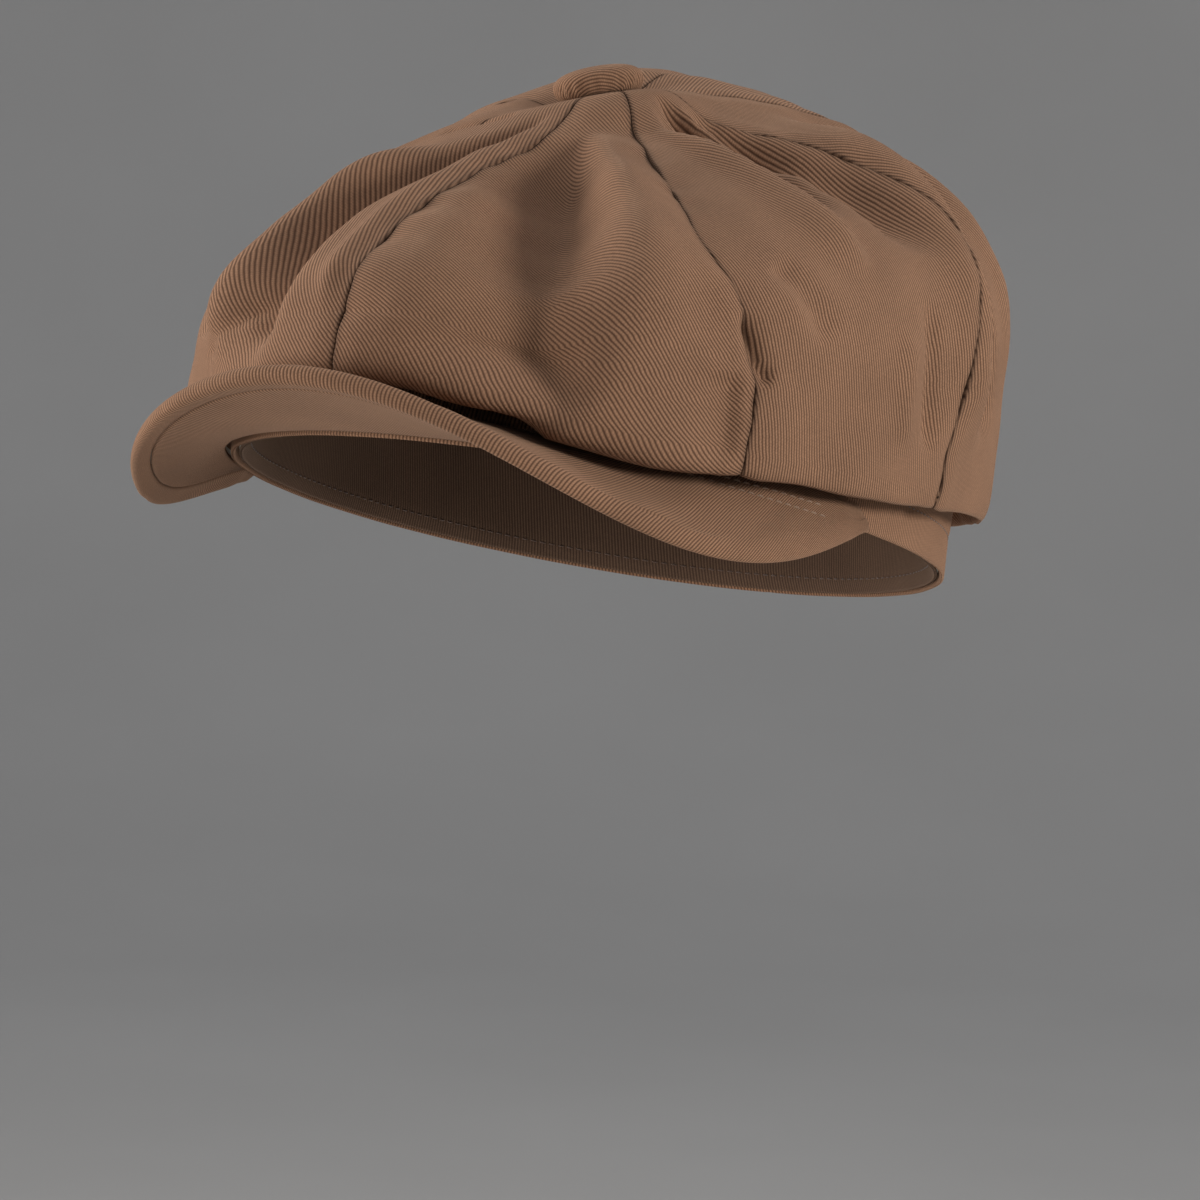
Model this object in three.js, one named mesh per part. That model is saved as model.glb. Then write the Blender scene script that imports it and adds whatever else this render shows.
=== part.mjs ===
// An eight-panel newsboy cap: a full crown of eight gores that overhangs its headband, a covered
// button on top, a dome lining, a sweatband, and an arched visor that flexes at the temples.
// Millimetres. The cap stands as it is worn: +Z is up, -Y is the wearer's front, +X their left.
import * as THREE from 'three';
import { mergeVertices } from 'three/addons/utils/BufferGeometryUtils.js';

// ---- driving dimensions ----
const BAND_HALF_LENGTH = 101.5;      // outside of the headband, front to back
const BAND_HALF_WIDTH = 83;          // outside of the headband, side to side
const BAND_HEIGHT = 27;
const WORN_TILT = 15.5;              // degrees that the front of the band sits above the back
const CLOTH = 1.2;                   // thickness of one worked layer of twill
const LINING = 0.8;
const GAP = 0.3;                     // clearance between neighbouring solids
const GORES = 8;
const PANEL_ANGLE = 360 / GORES;

// crown
const BUTTON_POINT = new THREE.Vector3(-3, -22, 100);
const PANEL_SHIFT = 6;               // degrees that the front seams spread from an even spacing
const TIP_RADIUS = 4.5;              // hole under the button that the shank passes through
const LINING_DROP = 4.6;             // lining below the crown at the button
const LINING_INSET = 4.6;            // lining edge inside the outer face of the headband

// button
const BUTTON_RADIUS = 11;
const BUTTON_DOME = 6.5;
const BUTTON_LIFT = 1.2;             // button seat above the crown cloth
const BUTTON_AXIS = new THREE.Vector3(-0.225, -0.247, 0.942).normalize();

// visor
const VISOR_HALF_ANGLE = 77.5;       // ellipse angle of the visor's ends, from the front
const VISOR_DEPTH = 45;              // at the centre front
const VISOR_END_DEPTH = 5;
const VISOR_ROOT_GAP = 1.8;          // root of the visor outside the headband, for the flex
const VISOR_ROOT_HEIGHT = 3;
const VISOR_MEAN_HEIGHT = -6;        // mean height and swing of the wavy outer edge
const VISOR_SWING = 11.7;
const VISOR_WAVE = 300;              // degrees of that wave between the centre and one end
const VISOR_TUCK = 5.5;              // how far the right-hand lobe is drawn in, and how far lifted
const VISOR_LIFT = 3;
const VISOR_SPAN = 0.985;            // share of the half angle that the covers reach
const BOARD_HALF = 1;                // half thickness of the stiff board
const BOARD_END_INSET = 0.07;        // board short of the covers' ends, and of their edges
const BOARD_EDGE_INSET = 0.06;
const COVER = 1;                     // thickness of each visor cover

// How the crown's shape changes round the cap. Places are counted in seams: 0 is the centre front,
// 4 the centre back, and positive is the wearer's left. Each value swings once round the cap, by
// swing at its place and by the opposite on the far side. The crown flops forward over the visor.
const RIM_HEIGHT = { mean: 39, swing: -14, place: -0.6 };   // height of the widest line
const DROOP = { mean: 7, swing: -12, place: 0.2 };             // height that the overhang droops to
const SLOPE = { mean: -0.08, swing: 0.6, place: 0.4 };          // fall of the cloth from the button
const WALL = { mean: 0.62, swing: -0.45, place: -0.3 };       // how upright the side stands
const REACH = 0.5;                   // how far the slope at the button carries
const OVERHANG = 9.5;                 // widest line outside the headband, sides and back
const FRONT_FULLNESS = 21;           // more overhang at the front
const VISOR_REST = 13;                // how far the visor holds the front of the crown up
const FULLNESS_PLACE = 0.2;          // where that fullness is greatest
const FULLNESS_SHARPNESS = 8;        // how quickly it falls off round the cap
const REST_SHARPNESS = 32;           // the same for VISOR_REST, which is greatest at place 0

const GORE_NAMES = [
  'back_right', 'side_back_right', 'side_front_right', 'front_right',
  'front_left', 'side_front_left', 'side_back_left', 'back_left',
];

// ---- colours ----
const TWILL = { color: 0x7d5c47, roughness: 0.92, metalness: 0 };
const LINING_CLOTH = { color: 0x4a3a30, roughness: 0.6, metalness: 0 };
const SWEATBAND_CLOTH = { color: 0x5a4435, roughness: 0.85, metalness: 0 };
const STIFFENER = { color: 0xcfc8ba, roughness: 0.9, metalness: 0 };
const BOARD = { color: 0xe3ded2, roughness: 0.55, metalness: 0 };
const TIN = { color: 0xb4b4b0, roughness: 0.4, metalness: 1 };

// ---- solids ----
function meshOf(name, geometry, look) {
  const mesh = new THREE.Mesh(geometry, new THREE.MeshStandardMaterial(look));
  mesh.name = name;
  return mesh;
}

function signedVolume(points, faces) {
  let sum = 0;
  for (const [a, b, c] of faces) {
    sum += points[a].dot(points[b].clone().cross(points[c]));
  }
  return sum / 6;
}

function geometryOf(points, faces) {
  const outward = signedVolume(points, faces) > 0;
  const index = faces.flatMap(([a, b, c]) => (outward ? [a, b, c] : [a, c, b]));
  const geometry = new THREE.BufferGeometry();
  const flat = points.flatMap((p) => [p.x, p.y, p.z]);
  geometry.setAttribute('position', new THREE.Float32BufferAttribute(flat, 3));
  geometry.setIndex(index);
  geometry.computeVertexNormals();
  return geometry;
}

// A sheet with two faces, from two grids of points, closed round its border. A ring closes on
// itself along its first direction and has a border only along the second.
function sheetSolid(faceA, faceB, isRing) {
  const columns = faceA.length;
  const rows = faceA[0].length;
  const points = [...faceA.flat(), ...faceB.flat()];
  const at = (side, i, j) => side * columns * rows + (i % columns) * rows + j;
  const faces = [];
  const quad = (a, b, c, d) => faces.push([a, b, c], [a, c, d]);
  const columnSteps = isRing ? columns : columns - 1;
  for (let i = 0; i < columnSteps; i += 1) {
    for (let j = 0; j < rows - 1; j += 1) {
      quad(at(0, i, j), at(0, i + 1, j), at(0, i + 1, j + 1), at(0, i, j + 1));
      quad(at(1, i, j), at(1, i, j + 1), at(1, i + 1, j + 1), at(1, i + 1, j));
    }
    quad(at(0, i, 0), at(1, i, 0), at(1, i + 1, 0), at(0, i + 1, 0));
    quad(at(0, i, rows - 1), at(0, i + 1, rows - 1), at(1, i + 1, rows - 1), at(1, i, rows - 1));
  }
  if (!isRing) {
    for (let j = 0; j < rows - 1; j += 1) {
      quad(at(0, 0, j), at(0, 0, j + 1), at(1, 0, j + 1), at(1, 0, j));
      const last = columns - 1;
      quad(at(0, last, j), at(1, last, j), at(1, last, j + 1), at(0, last, j + 1));
    }
  }
  return geometryOf(points, faces);
}

// ---- the crown's surface ----
function smoothstep(low, high, value) {
  const t = THREE.MathUtils.clamp((value - low) / (high - low), 0, 1);
  return t * t * (3 - 2 * t);
}

function swingAt(seam, { mean, swing, place }) {
  return mean + swing * Math.cos(THREE.MathUtils.degToRad(PANEL_ANGLE * (seam - place)));
}

function frontBump(seam, place, sharpness) {
  const turn = THREE.MathUtils.degToRad(PANEL_ANGLE * (seam - place));
  return ((1 + Math.cos(turn)) / 2) ** sharpness;
}

function overhangAt(seam) {
  return OVERHANG + FRONT_FULLNESS * frontBump(seam, FULLNESS_PLACE, FULLNESS_SHARPNESS);
}

function droopAt(seam) {
  return swingAt(seam, DROOP) + VISOR_REST * frontBump(seam, 0, REST_SHARPNESS);
}

function planAngle(seam) {
  const even = THREE.MathUtils.degToRad(PANEL_ANGLE * seam);
  return even + THREE.MathUtils.degToRad(PANEL_SHIFT) * Math.sin(2 * even);
}

function bandPoint(angle, outset, height) {
  return new THREE.Vector3(
    (BAND_HALF_WIDTH + outset) * Math.sin(angle),
    -(BAND_HALF_LENGTH + outset) * Math.cos(angle),
    height,
  );
}

function buttonPlaneHeight(x, y) {
  const dx = x - BUTTON_POINT.x;
  const dy = y - BUTTON_POINT.y;
  return BUTTON_POINT.z - (BUTTON_AXIS.x * dx + BUTTON_AXIS.y * dy) / BUTTON_AXIS.z;
}

// The cloth lies flat under the button and takes its own slope a little way out from it.
function settleUnderButton(point) {
  const out = Math.hypot(point.x - BUTTON_POINT.x, point.y - BUTTON_POINT.y);
  const own = smoothstep(BUTTON_RADIUS, 2.6 * BUTTON_RADIUS, out);
  point.z = THREE.MathUtils.lerp(buttonPlaneHeight(point.x, point.y), point.z, own);
  return point;
}

function crownCurves(seam) {
  const angle = planAngle(seam);
  const rimHeight = swingAt(seam, RIM_HEIGHT);
  const fold = droopAt(seam);
  const widest = bandPoint(angle, overhangAt(seam), rimHeight);
  const out = widest.clone().sub(BUTTON_POINT).setZ(0);
  const first = BUTTON_POINT.clone().addScaledVector(out, REACH);
  first.z -= swingAt(seam, SLOPE) * REACH * out.length();
  const second = widest.clone();
  second.z += (BUTTON_POINT.z - rimHeight) * swingAt(seam, WALL);
  const edge = bandPoint(angle, 0.6, BAND_HEIGHT + 0.6);
  const inward = widest.clone().sub(edge).setZ(0);
  const third = widest.clone();
  third.z -= 1.2 * (rimHeight - fold);
  const fourth = edge.clone().addScaledVector(inward, 0.75);
  fourth.z += 1.1 * (fold - BAND_HEIGHT);
  return {
    top: new THREE.CubicBezierCurve3(BUTTON_POINT, first, second, widest),
    under: new THREE.CubicBezierCurve3(widest, third, fourth, edge),
  };
}

// t runs 0 to 1 over the top, from the button to the widest line, and 1 to 2 under the overhang.
function crownPoint(seam, t) {
  const curves = crownCurves(seam);
  if (t <= 1) return settleUnderButton(curves.top.getPoint(t));
  return curves.under.getPoint(t - 1);
}

function liningPoint(seam, t) {
  const angle = planAngle(seam);
  const top = BUTTON_POINT.clone();
  top.z -= LINING_DROP;
  const edge = bandPoint(angle, -LINING_INSET, BAND_HEIGHT + 0.6);
  const out = edge.clone().sub(top).setZ(0);
  const first = top.clone().addScaledVector(out, REACH);
  first.z -= swingAt(seam, SLOPE) * REACH * out.length();
  const second = edge.clone().addScaledVector(out, 0.1);
  second.z += (top.z - edge.z) * (0.3 + 0.5 * swingAt(seam, WALL));
  const point = new THREE.CubicBezierCurve3(top, first, second, edge).getPoint(t);
  const near = Math.hypot(point.x - top.x, point.y - top.y);
  const own = smoothstep(BUTTON_RADIUS, 2.6 * BUTTON_RADIUS, near);
  const plane = buttonPlaneHeight(point.x, point.y) - LINING_DROP;
  point.z = THREE.MathUtils.lerp(plane, point.z, own);
  return point;
}

// Unit normal that points to the inside of the cap.
function inwardNormal(surface, seam, t) {
  const step = 1e-3;
  const along = surface(seam, t + step).sub(surface(seam, t - step));
  const across = surface(seam + step, t).sub(surface(seam - step, t));
  return across.cross(along).normalize();
}

// First t at which the surface is TIP_RADIUS away from the button's axis.
function tipStart(surface, seam) {
  let t = 0.005;
  let point = surface(seam, t);
  while (Math.hypot(point.x - BUTTON_POINT.x, point.y - BUTTON_POINT.y) < TIP_RADIUS) {
    t += 0.002;
    point = surface(seam, t);
  }
  return t;
}

function goreSolid(surface, firstSeam, columns, stops, thickness) {
  const outer = [];
  const inner = [];
  const start = tipStart(surface, firstSeam + 0.5);
  for (let i = 0; i <= columns; i += 1) {
    const outerColumn = [];
    const innerColumn = [];
    for (const stop of stops) {
      const t = Math.max(stop, start);
      const chord = surface(firstSeam, t).distanceTo(surface(firstSeam + 1, t));
      const margin = (0.5 * GAP + 0.05) / chord;
      const seam = firstSeam + margin + (1 - 2 * margin) * (i / columns);
      const point = surface(seam, t);
      outerColumn.push(point);
      innerColumn.push(point.clone().addScaledVector(inwardNormal(surface, seam, t), thickness));
    }
    outer.push(outerColumn);
    inner.push(innerColumn);
  }
  return sheetSolid(outer, inner, false);
}

function buildGores() {
  const meshes = [];
  const crownStops = [0, 0.12, 0.26, 0.42, 0.58, 0.73, 0.87, 1, 1.2, 1.4, 1.6, 1.8, 1.995];
  const liningStops = [0, 0.14, 0.32, 0.5, 0.68, 0.84, 0.995];
  GORE_NAMES.forEach((label, index) => {
    const firstSeam = index - GORES / 2;
    const crown = goreSolid(crownPoint, firstSeam, 5, crownStops, CLOTH);
    const lining = goreSolid(liningPoint, firstSeam, 4, liningStops, LINING);
    meshes.push(meshOf(`crown_gore_${label}`, crown, TWILL));
    meshes.push(meshOf(`lining_gore_${label}`, lining, LINING_CLOTH));
  });
  return meshes;
}

// ---- headband, stiffener and sweatband ----
function ringSolid(outset, thickness, bottom, top) {
  const columns = 48;
  const outer = [];
  const inner = [];
  for (let i = 0; i < columns; i += 1) {
    const angle = (i / columns) * 2 * Math.PI;
    outer.push([bandPoint(angle, outset, bottom), bandPoint(angle, outset, top)]);
    const depth = outset - thickness;
    inner.push([bandPoint(angle, depth, bottom), bandPoint(angle, depth, top)]);
  }
  return sheetSolid(outer, inner, true);
}

function buildBand() {
  const stiffenerOut = -CLOTH - GAP;
  const sweatbandOut = stiffenerOut - LINING - GAP;
  return [
    meshOf('headband_outer', ringSolid(0, CLOTH, 0, BAND_HEIGHT), TWILL),
    meshOf('headband_stiffener', ringSolid(stiffenerOut, LINING, 1.5, BAND_HEIGHT - 1), STIFFENER),
    meshOf('sweatband', ringSolid(sweatbandOut, CLOTH, 0.8, BAND_HEIGHT - 0.5), SWEATBAND_CLOTH),
  ];
}

// ---- covered button ----
function latheSolid(profile) {
  const outline = profile.map(([r, z]) => new THREE.Vector2(r, z));
  const lathe = new THREE.LatheGeometry(outline, 18);
  lathe.deleteAttribute('normal');
  lathe.deleteAttribute('uv');
  const merged = mergeVertices(lathe, 1e-4);
  const position = merged.getAttribute('position');
  const points = [];
  for (let i = 0; i < position.count; i += 1) {
    points.push(new THREE.Vector3().fromBufferAttribute(position, i));
  }
  const index = merged.getIndex().array;
  const faces = [];
  for (let i = 0; i < index.length; i += 3) {
    const face = [index[i], index[i + 1], index[i + 2]];
    if (new Set(face).size === 3) faces.push(face);
  }
  return geometryOf(points, faces);
}

// Half section of a dome, from its top to its foot.
function domeOutline(radius, height, foot) {
  return [0, 30, 55, 75, 90].map((degrees) => {
    const angle = THREE.MathUtils.degToRad(degrees);
    return [radius * Math.sin(angle), foot + (height - foot) * Math.cos(angle)];
  });
}

function buildButton() {
  const button = new THREE.Group();
  const shellRadius = BUTTON_RADIUS - CLOTH - GAP;
  const shellDome = BUTTON_DOME - CLOTH - GAP;
  const wall = 0.6;
  const lip = 2.4;
  const foot = 2.2;
  const cover = [
    ...domeOutline(BUTTON_RADIUS, BUTTON_DOME, foot),
    [BUTTON_RADIUS - 0.6, 0.5],
    [BUTTON_RADIUS - lip, 0],
    [BUTTON_RADIUS - lip, CLOTH],
    ...domeOutline(BUTTON_RADIUS - CLOTH, BUTTON_DOME - CLOTH, foot).reverse(),
  ];
  const shell = [
    ...domeOutline(shellRadius, shellDome, foot),
    ...domeOutline(shellRadius - wall, shellDome - wall, foot).reverse(),
  ];
  const plateRadius = BUTTON_RADIUS - lip - GAP;
  const shankRadius = 1.6;
  const shankEnd = -BUTTON_LIFT - LINING_DROP - 3;
  const back = [
    [0, 1.6],
    [plateRadius, 1.6],
    [plateRadius, 0.6],
    [shankRadius, 0.6],
    [shankRadius, shankEnd],
    [0, shankEnd],
  ];
  button.add(meshOf('button_cover', latheSolid(cover), TWILL));
  button.add(meshOf('button_shell', latheSolid(shell), TIN));
  button.add(meshOf('button_back', latheSolid(back), TIN));
  const upright = new THREE.Quaternion();
  const latheAxis = new THREE.Vector3(0, 1, 0);
  upright.setFromUnitVectors(latheAxis, BUTTON_AXIS);
  button.quaternion.copy(upright);
  button.position.copy(BUTTON_POINT).addScaledVector(BUTTON_AXIS, BUTTON_LIFT);
  return button;
}

// ---- visor ----
// side runs from -1 at the wearer's right end to 1 at their left; out from 0 at the root to 1.
function visorPoint(side, out) {
  const angle = THREE.MathUtils.degToRad(VISOR_HALF_ANGLE) * side;
  const taper = Math.cos((Math.PI / 2) * side) ** 1.25;
  const lobe = smoothstep(0.2, 0.55, -side) * Math.min(1, 2 * taper);
  const full = VISOR_END_DEPTH + (VISOR_DEPTH - VISOR_END_DEPTH) * taper;
  const depth = full - VISOR_TUCK * lobe;
  const wave = Math.cos(THREE.MathUtils.degToRad(VISOR_WAVE) * side);
  const edgeHeight = VISOR_MEAN_HEIGHT + VISOR_SWING * wave + VISOR_LIFT * lobe;
  const point = bandPoint(angle, VISOR_ROOT_GAP, 0);
  point.x += Math.sin(angle) * (depth - VISOR_ROOT_GAP) * out;
  point.y -= Math.cos(angle) * (depth - VISOR_ROOT_GAP) * out;
  point.z = THREE.MathUtils.lerp(VISOR_ROOT_HEIGHT, edgeHeight, out);
  return point;
}

// One layer of the visor, between two heights above its middle surface. It stops short of the
// visor's ends and edges by the two insets, which are shares of the span and of the depth.
function visorLayer(low, high, endInset, edgeInset) {
  const columns = 36;
  const rows = 6;
  const upper = [];
  const lower = [];
  for (let i = 0; i <= columns; i += 1) {
    const side = THREE.MathUtils.lerp(-VISOR_SPAN + endInset, VISOR_SPAN - endInset, i / columns);
    const upperColumn = [];
    const lowerColumn = [];
    for (let j = 0; j <= rows; j += 1) {
      const out = THREE.MathUtils.lerp(edgeInset, 1 - edgeInset, j / rows);
      const point = visorPoint(side, out);
      upperColumn.push(point.clone().setZ(point.z + high));
      lowerColumn.push(point.clone().setZ(point.z + low));
    }
    upper.push(upperColumn);
    lower.push(lowerColumn);
  }
  return sheetSolid(upper, lower, false);
}

function buildVisor() {
  const coverLow = BOARD_HALF + GAP;
  const coverHigh = coverLow + COVER;
  return [
    meshOf('visor_upper_cover', visorLayer(coverLow, coverHigh, 0, 0), TWILL),
    meshOf('visor_board', visorLayer(-BOARD_HALF, BOARD_HALF, BOARD_END_INSET, BOARD_EDGE_INSET), BOARD),
    meshOf('visor_lower_cover', visorLayer(-coverHigh, -coverLow, 0, 0), TWILL),
  ];
}

// ---- the whole cap, tilted back as it is worn ----
const cap = new THREE.Group();
cap.add(...buildGores(), ...buildBand(), buildButton(), ...buildVisor());
cap.rotation.x = -THREE.MathUtils.degToRad(WORN_TILT);
const group = new THREE.Group();
group.add(cap);

export default group;
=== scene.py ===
import math

import bpy
import numpy as np
from mathutils import Matrix, Vector


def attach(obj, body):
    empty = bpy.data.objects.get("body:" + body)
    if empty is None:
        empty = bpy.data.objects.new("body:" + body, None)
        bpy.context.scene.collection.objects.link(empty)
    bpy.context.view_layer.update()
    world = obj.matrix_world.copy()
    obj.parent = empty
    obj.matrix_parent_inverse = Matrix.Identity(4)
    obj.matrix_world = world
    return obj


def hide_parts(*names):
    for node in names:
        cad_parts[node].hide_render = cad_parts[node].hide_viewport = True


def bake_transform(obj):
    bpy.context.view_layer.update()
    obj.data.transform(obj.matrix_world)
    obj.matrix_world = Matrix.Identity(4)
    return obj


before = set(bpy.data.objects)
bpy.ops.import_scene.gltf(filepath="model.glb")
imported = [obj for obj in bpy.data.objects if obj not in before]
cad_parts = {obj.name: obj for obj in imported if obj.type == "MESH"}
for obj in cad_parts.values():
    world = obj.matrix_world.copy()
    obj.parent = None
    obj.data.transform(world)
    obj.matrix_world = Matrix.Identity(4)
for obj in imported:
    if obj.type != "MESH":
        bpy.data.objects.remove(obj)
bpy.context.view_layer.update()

# The cap is worked out in millimetres, upright on its headband, and tilted back by WORN_TILT at the
# end. X is the wearer's left, -Y their front, Z up.

UP = np.array([0.0, 0.0, 1.0])
LEVEL = np.array([1.0, 1.0, 0.0])

# ---- sizes shared with the CAD part ----
GORES = 8
BAND_LENGTH = 101.5
BAND_WIDTH = 83.0
BAND_HEIGHT = 27.0
BAND_CLOTH = 1.2
# Height at which the crown and the lining meet the band.
CROWN_FOOT = BAND_HEIGHT + 0.6
WORN_TILT = math.radians(15.5)
PANEL_SHIFT = math.radians(6)
BUTTON = np.array([-3.0, -22.0, 100.0])
BUTTON_RADIUS = 11.0
BUTTON_DOME = 6.5
BUTTON_LIFT = 1.2
BUTTON_AXIS = np.array([-0.225, -0.247, 0.942])
BUTTON_AXIS = BUTTON_AXIS / np.linalg.norm(BUTTON_AXIS)
LINING_DROP = 4.6
LINING_INSET = 4.6
VISOR_HALF_ANGLE = math.radians(77.5)
VISOR_DEPTH = 45.0
VISOR_END_DEPTH = 5.0
VISOR_ROOT_GAP = 1.8
VISOR_ROOT_HEIGHT = 3.0
VISOR_MEAN_HEIGHT = -6.0
VISOR_SWING = 11.7
VISOR_WAVE = math.radians(300)
VISOR_TUCK = 5.5
VISOR_LIFT = 3.0
VISOR_HALF = 2.3

# Each is (mean, swing, place): it swings once round the cap, and places are counted in seams.
RIM_HEIGHT = (39, -14, -0.6)
DROOP = (7, -12, 0.2)
SLOPE = (-0.08, 0.6, 0.4)
WALL = (0.62, -0.45, -0.3)
REACH = 0.5
OVERHANG = 9.5
FRONT_FULLNESS = 21
VISOR_REST = 13
FULLNESS_PLACE = 0.2
FULLNESS_SHARPNESS = 8
REST_SHARPNESS = 32
GORE_NAMES = (
    "back_right", "side_back_right", "side_front_right", "front_right",
    "front_left", "side_front_left", "side_back_left", "back_left",
)

# ---- sizes of the visual model only ----
# Lengths along a meridian above and below the widest line, and how far that line is rounded off.
TOP_RUN = 130.0
UNDER_RUN = 48.0
RIM_ROUNDING = 24.0
# The crown's cloth starts under the button and ends where it turns in over the band, as t.
CROWN_START = 0.045
CROWN_END = 1.995
CROWN_CLOTH = 0.7
LINING_CLOTH = 0.5
VISOR_CLOTH = 0.9
# The visor's top and under cloths come this close to its two ends, where 1 is the end itself.
VISOR_REACH = 0.999
VISOR_TOP_ROWS = 34
BUTTON_WALL = 2.4
SEAM_GAP = 0.06
HEM_ROWS = ((0.55, 0.12), (1.4, 0.3), (3.4, 0.3))
BAND_STITCHES = 10.0
SWEATBAND_STITCHES = 4.0
STITCH_PITCH = 2.5
RIB = 0.9
# Angle of the twill ribs from the middle line of each gore, in degrees.
RIB_ANGLES = (30, 12, 40, 36, 43, 14, 8, 38)

CAMERA_AZIMUTH = math.radians(28.5)
CAMERA_ELEVATION = math.radians(7)
CAMERA_ROLL = math.radians(1.3)
CAMERA_DISTANCE = 1.4
CAMERA_LENS = 172.6
SENSOR = 36.0
AIM_RIGHT = 0.0026
AIM_UP = -0.0193


# ---- small maths ----
def smoothstep(low, high, value):
    t = np.clip((value - low) / (high - low), 0.0, 1.0)
    return t * t * (3 - 2 * t)


def unit(vectors):
    return vectors / np.maximum(np.linalg.norm(vectors, axis=-1, keepdims=True), 1e-12)


def run_along(points):
    """Distance along a path of points, from its first point."""
    return np.concatenate([[0.0], np.cumsum(np.linalg.norm(np.diff(points, axis=0), axis=1))])


def to_row(points):
    """The cap's own millimetres as metres in the frame, tilted as it is worn."""
    x, y, z = points[..., 0], points[..., 1], points[..., 2]
    c, s = math.cos(WORN_TILT), math.sin(WORN_TILT)
    return np.stack([x, y * c + z * s, -y * s + z * c], -1) / 1000


def catmull(knots, places):
    """Smooth curve through rows of knots, read at places from 0 to len(knots) - 1."""
    knots = np.asarray(knots, float)
    last = len(knots) - 1
    base = np.clip(np.floor(places).astype(int), 0, last - 1)
    t = (places - base)[:, None]
    p0, p1, p2, p3 = (knots[np.clip(base + k, 0, last)] for k in (-1, 0, 1, 2))
    linear = (p2 - p0) * t
    square = (2 * p0 - 5 * p1 + 4 * p2 - p3) * t**2
    cube = (3 * p1 - p0 - 3 * p2 + p3) * t**3
    return p1 + 0.5 * (linear + square + cube)


# ---- surfaces ----
def seam_turn(seam, place=0.0):
    """Angle round the cap from a place to a seam, both counted in seams."""
    return math.radians(360 / GORES) * (np.asarray(seam, float) - place)


def swing_at(seam, values):
    mean, swing, place = values
    return mean + swing * np.cos(seam_turn(seam, place))


def front_bump(seam, place, sharpness):
    return ((1 + np.cos(seam_turn(seam, place))) / 2) ** sharpness


def overhang_at(seam):
    return OVERHANG + FRONT_FULLNESS * front_bump(seam, FULLNESS_PLACE, FULLNESS_SHARPNESS)


def droop_at(seam):
    return swing_at(seam, DROOP) + VISOR_REST * front_bump(seam, 0, REST_SHARPNESS)


def plan_angle(seam):
    even = seam_turn(seam)
    return even + PANEL_SHIFT * np.sin(2 * even)


def band_point(angle, outset, height):
    x = (BAND_WIDTH + outset) * np.sin(angle)
    y = -(BAND_LENGTH + outset) * np.cos(angle)
    return np.stack([x, y, height + 0 * x], -1)


def bezier(points, t):
    t = t[..., None]
    a, b, c, d = points
    return (1 - t)**3 * a + 3 * (1 - t)**2 * t * b + 3 * (1 - t) * t**2 * c + t**3 * d


def settle(points, centre):
    """Flattens the middle of a dome to the plane of the button's seat."""
    offset = points[..., :2] - centre[:2]
    plane = centre[2] - (offset @ BUTTON_AXIS[:2]) / BUTTON_AXIS[2]
    own = smoothstep(BUTTON_RADIUS, 2.6 * BUTTON_RADIUS, np.linalg.norm(offset, axis=-1))
    height = plane + (points[..., 2] - plane) * own
    return np.concatenate([points[..., :2], height[..., None]], -1)


def first_handle(top, out, seam):
    """Second control point of a meridian: how far and how steeply it leaves the button."""
    fall = swing_at(seam, SLOPE) * REACH * np.linalg.norm(out, axis=-1)
    return top + out * REACH - UP * fall[..., None]


def crown_profile(seam, t):
    """The crown without folds: t is 0 at the button, 1 on the widest line and 2 at the band."""
    seam, t = np.broadcast_arrays(np.asarray(seam, float), np.asarray(t, float))
    angle = plan_angle(seam)
    rim, fold = swing_at(seam, RIM_HEIGHT), droop_at(seam)
    widest = band_point(angle, overhang_at(seam), rim)
    first = first_handle(BUTTON, (widest - BUTTON) * LEVEL, seam)
    second = widest + UP * ((BUTTON[2] - rim) * swing_at(seam, WALL))[..., None]
    edge = band_point(angle, BAND_CLOTH / 2, CROWN_FOOT)
    inward = (widest - edge) * LEVEL
    third = widest - UP * (1.2 * (rim - fold))[..., None]
    fourth = edge + 0.75 * inward + UP * (1.1 * (fold - BAND_HEIGHT))[..., None]
    top = settle(bezier([BUTTON, first, second, widest], np.clip(t, 0, 1)), BUTTON)
    under = bezier([widest, third, fourth, edge], np.clip(t - 1, 0, 1))
    return np.where((t <= 1)[..., None], top, under)


def crown_base(seam, t):
    """The crown without its folds, with the widest line rounded off along each meridian."""
    seam, t = np.broadcast_arrays(np.asarray(seam, float), np.asarray(t, float))
    run = np.where(t <= 1, TOP_RUN * t, TOP_RUN + UNDER_RUN * (t - 1))
    above, below = smoothstep(25, 80, TOP_RUN - run), smoothstep(2, 22, run - TOP_RUN)
    reach = RIM_ROUNDING * (1 - above) * (1 - below)
    total, weights = 0.0, 0.0
    for step in np.linspace(-1, 1, 9):
        near = run + step * reach
        own = np.where(near <= TOP_RUN, near / TOP_RUN, 1 + (near - TOP_RUN) / UNDER_RUN)
        weight = math.cos(step * math.pi / 2 * 0.8)
        total = total + weight * crown_profile(seam, np.clip(own, 0.001, 2))
        weights += weight
    return total / weights


def lining_base(seam, t):
    seam, t = np.broadcast_arrays(np.asarray(seam, float), np.asarray(t, float))
    top = BUTTON - UP * LINING_DROP
    edge = band_point(plan_angle(seam), -LINING_INSET, CROWN_FOOT)
    out = (edge - top) * LEVEL
    rise = (top[2] - edge[..., 2]) * (0.3 + 0.5 * swing_at(seam, WALL))
    second = edge + 0.1 * out + UP * rise[..., None]
    return settle(bezier([top, first_handle(top, out, seam), second, edge], np.clip(t, 0, 1)), top)


def outward(surface, seam, t, high):
    """Unit normal of a surface, away from the inside of the cap."""
    seam, t = np.broadcast_arrays(seam, t)
    step = 2e-3
    near, far = np.clip(t - step, 0.005, high), np.clip(t + step, 0.005, high)
    along = surface(seam, far) - surface(seam, near)
    across = surface(seam + step, t) - surface(seam - step, t)
    return unit(np.cross(along, across))


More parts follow.
